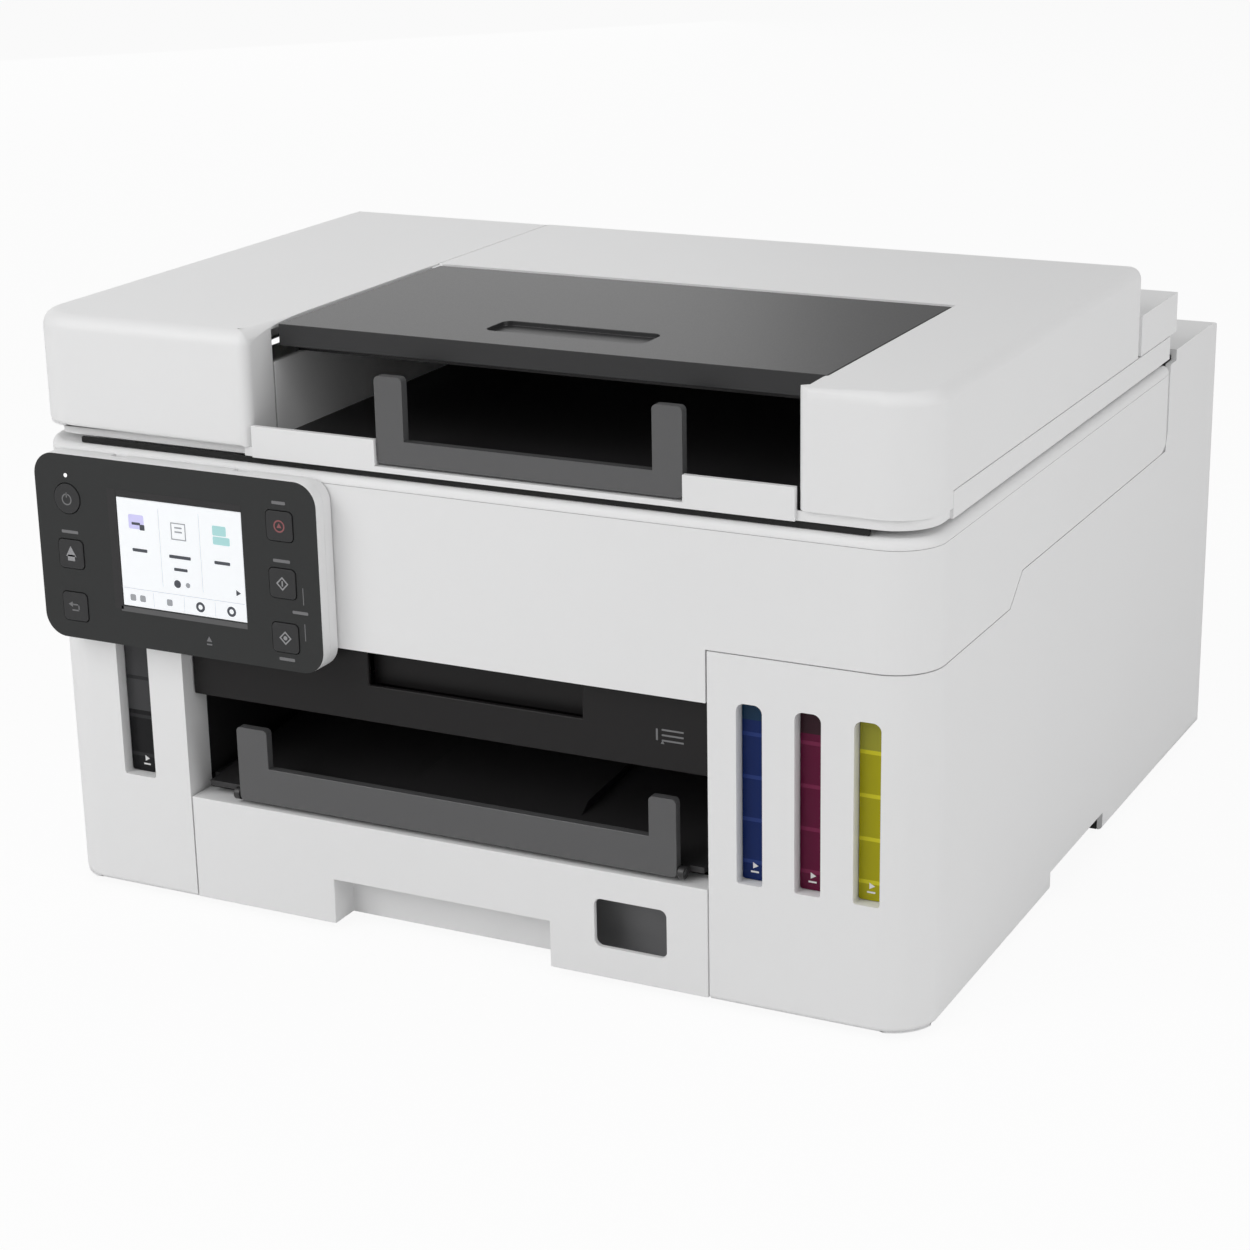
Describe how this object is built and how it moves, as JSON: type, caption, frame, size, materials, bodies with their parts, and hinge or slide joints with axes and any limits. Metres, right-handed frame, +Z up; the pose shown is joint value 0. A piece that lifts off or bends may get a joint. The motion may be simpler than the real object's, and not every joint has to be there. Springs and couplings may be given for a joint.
{
  "type": "inkjet printer",
  "caption": "Box-shaped refillable-tank inkjet printer with a sheet feeder lid, flatbed scanner unit, tilting touch panel, paper cassette and ink windows in the front towers.",
  "frame": {"origin": "centre of the footprint, on the surface it stands on", "axes": "+Z up, -Y towards the user, +X to the right as seen from the front"},
  "size_m": [0.399, 0.41, 0.254],
  "materials": {
    "white_plastic": "fine matte texture",
    "grey_plastic": "matte",
    "dark_plastic": "satin charcoal",
    "bezel_plastic": "satin",
    "sheet_steel": "zinc plated",
    "rail_steel": "ground",
    "rubber": "matte",
    "tank_black": "translucent",
    "tank_cyan": "translucent",
    "tank_magenta": "translucent",
    "tank_yellow": "translucent",
    "tube": "clear",
    "board": "solder mask",
    "screen": "glossy display",
    "glass": "polished",
    "foam": "white foil on foam",
    "screw_steel": "plated"
  },
  "bodies": {
    "printer": {"base_chassis": "grey_plastic", "left_cover": "white_plastic", "right_cover": "white_plastic", "rear_cover": "white_plastic", "front_fascia": "dark_plastic", "metal_frame": "sheet_steel", "carriage_rail": "rail_steel", "platen": "dark_plastic", "purge_unit": "grey_plastic", "power_supply": "grey_plastic", "main_board": "board", "drive_motors": "sheet_steel", "timing_belt": "rubber", "ink_tank_black": "tank_black", "ink_tank_cyan": "tank_cyan", "ink_tank_magenta": "tank_magenta", "ink_tank_yellow": "tank_yellow", "ink_tubes": "tube", "rubber_feet": "rubber", "cover_screws": "screw_steel", "power_inlet": "dark_plastic", "port_block": "sheet_steel"},
    "cap_black": {"tank_cap_black": "rubber"},
    "cap_cyan": {"tank_cap_cyan": "rubber"},
    "cap_magenta": {"tank_cap_magenta": "rubber"},
    "cap_yellow": {"tank_cap_yellow": "rubber"},
    "maintenance": {"maintenance_cartridge": "grey_plastic"},
    "rear_flap": {"rear_tray_cover": "white_plastic"},
    "cassette": {"cassette_tray": "white_plastic", "cassette_front": "white_plastic"},
    "guide_left": {"cassette_guide_left": "grey_plastic"},
    "guide_right": {"cassette_guide_right": "grey_plastic"},
    "output": {"output_tray": "dark_plastic"},
    "support": {"output_support": "dark_plastic"},
    "feed": {"feed_roller": "rubber"},
    "eject": {"eject_roller": "rubber"},
    "pickup": {"pickup_roller": "rubber"},
    "carriage": {"print_carriage": "dark_plastic", "print_heads": "sheet_steel"},
    "scanner": {"scanner_housing": "white_plastic", "scan_bezel": "white_plastic", "scan_glass": "glass"},
    "scan_head": {"scan_carriage": "dark_plastic"},
    "lid": {"lid_base": "white_plastic", "lid_pad": "foam", "lid_top_cover": "white_plastic", "document_shelf": "dark_plastic"},
    "feeder": {"feeder_cover": "white_plastic"},
    "tray_flap": {"tray_cover": "dark_plastic"},
    "adf": {"adf_roller": "rubber"},
    "doc_stop": {"output_stop": "dark_plastic"},
    "panel": {"panel_bezel": "bezel_plastic", "panel_back": "white_plastic", "touch_screen": "screen"},
    "key_power": {"power_button": "bezel_plastic"},
    "key_home": {"home_button": "bezel_plastic"},
    "key_back": {"back_button": "bezel_plastic"},
    "key_stop": {"stop_button": "bezel_plastic"},
    "key_black": {"black_start_button": "bezel_plastic"},
    "key_color": {"color_start_button": "bezel_plastic"}
  },
  "joints": [
    {"name": "scanner_hinge", "type": "hinge", "parent": "printer", "child": "scanner", "pos_m": [0, 0.1205, 0.206], "axis": [-1, 0, 0], "range_deg": [0, 40]},
    {"name": "lid_hinge", "type": "hinge", "parent": "scanner", "child": "lid", "pos_m": [0, 0.1135, 0.222], "axis": [-1, 0, 0], "range_deg": [0, 65]},
    {"name": "feeder_cover_hinge", "type": "hinge", "parent": "lid", "child": "feeder", "pos_m": [-0.194, 0, 0.2125], "axis": [0, -1, 0], "range_deg": [0, 75]},
    {"name": "tray_cover_hinge", "type": "hinge", "parent": "lid", "child": "tray_flap", "pos_m": [0, -0.0435, 0.2505], "axis": [-1, 0, 0], "range_deg": [0, 100]},
    {"name": "stop_fold", "type": "hinge", "parent": "lid", "child": "doc_stop", "pos_m": [0, -0.1895, 0.2095], "axis": [-1, 0, 0], "range_deg": [0, 90]},
    {"name": "adf_spin", "type": "hinge", "parent": "lid", "child": "adf", "pos_m": [-0.118, 0, 0.231], "axis": [0, 1, 0], "continuous": true},
    {"name": "panel_tilt", "type": "hinge", "parent": "scanner", "child": "panel", "pos_m": [0, -0.197, 0.1959], "axis": [-1, 0, 0], "range_deg": [0, 40]},
    {"name": "power_press", "type": "slide", "parent": "panel", "child": "key_power", "axis": [0, 1, 0], "range_m": [0, 0.001], "stiffness_N_per_m": 300, "springref_m": -0.0005},
    {"name": "home_press", "type": "slide", "parent": "panel", "child": "key_home", "axis": [0, 1, 0], "range_m": [0, 0.001], "stiffness_N_per_m": 300, "springref_m": -0.0005},
    {"name": "back_press", "type": "slide", "parent": "panel", "child": "key_back", "axis": [0, 1, 0], "range_m": [0, 0.001], "stiffness_N_per_m": 300, "springref_m": -0.0005},
    {"name": "stop_press", "type": "slide", "parent": "panel", "child": "key_stop", "axis": [0, 1, 0], "range_m": [0, 0.001], "stiffness_N_per_m": 300, "springref_m": -0.0005},
    {"name": "black_start_press", "type": "slide", "parent": "panel", "child": "key_black", "axis": [0, 1, 0], "range_m": [0, 0.001], "stiffness_N_per_m": 300, "springref_m": -0.0005},
    {"name": "color_start_press", "type": "slide", "parent": "panel", "child": "key_color", "axis": [0, 1, 0], "range_m": [0, 0.001], "stiffness_N_per_m": 300, "springref_m": -0.0005},
    {"name": "scan_slide", "type": "slide", "parent": "scanner", "child": "scan_head", "axis": [1, 0, 0], "range_m": [0, 0.275]},
    {"name": "cassette_slide", "type": "slide", "parent": "printer", "child": "cassette", "axis": [0, -1, 0], "range_m": [0, 0.25]},
    {"name": "guide_left_slide", "type": "slide", "parent": "cassette", "child": "guide_left", "axis": [1, 0, 0], "range_m": [0, 0.05]},
    {"name": "guide_right_slide", "type": "slide", "parent": "cassette", "child": "guide_right", "axis": [1, 0, 0], "range_m": [-0.05, 0]},
    {"name": "output_slide", "type": "slide", "parent": "printer", "child": "output", "axis": [0, -1, 0], "range_m": [0, 0.08]},
    {"name": "support_fold", "type": "hinge", "parent": "output", "child": "support", "pos_m": [0, -0.1895, 0.0537], "axis": [1, 0, 0], "range_deg": [0, 90]},
    {"name": "feed_spin", "type": "hinge", "parent": "printer", "child": "feed", "pos_m": [0, 0.002, 0.081], "axis": [1, 0, 0], "continuous": true},
    {"name": "eject_spin", "type": "hinge", "parent": "printer", "child": "eject", "pos_m": [0, -0.054, 0.081], "axis": [1, 0, 0], "continuous": true},
    {"name": "pickup_spin", "type": "hinge", "parent": "printer", "child": "pickup", "pos_m": [0, 0.08, 0.068], "axis": [1, 0, 0], "continuous": true},
    {"name": "carriage_slide", "type": "slide", "parent": "printer", "child": "carriage", "axis": [1, 0, 0], "range_m": [-0.165, 0]},
    {"name": "cap_black_hinge", "type": "hinge", "parent": "printer", "child": "cap_black", "pos_m": [-0.1697, -0.1462, 0.1395], "axis": [-1, 0, 0], "range_deg": [0, 95]},
    {"name": "cap_cyan_hinge", "type": "hinge", "parent": "printer", "child": "cap_cyan", "pos_m": [0.1285, -0.1462, 0.1395], "axis": [-1, 0, 0], "range_deg": [0, 95]},
    {"name": "cap_magenta_hinge", "type": "hinge", "parent": "printer", "child": "cap_magenta", "pos_m": [0.1526, -0.1462, 0.1395], "axis": [-1, 0, 0], "range_deg": [0, 95]},
    {"name": "cap_yellow_hinge", "type": "hinge", "parent": "printer", "child": "cap_yellow", "pos_m": [0.1767, -0.1462, 0.1395], "axis": [-1, 0, 0], "range_deg": [0, 95]},
    {"name": "maintenance_slide", "type": "slide", "parent": "printer", "child": "maintenance", "axis": [0, 1, 0], "range_m": [0, 0.06]},
    {"name": "rear_tray_hinge", "type": "hinge", "parent": "printer", "child": "rear_flap", "pos_m": [0, 0.186, 0.203], "axis": [-1, 0, 0], "range_deg": [0, 95]}
  ],
  "couplings": [
    {"joint": "eject_spin", "follows": "feed_spin", "ratio": -1.5455},
    {"joint": "guide_right_slide", "follows": "guide_left_slide", "ratio": -1}
  ]
}
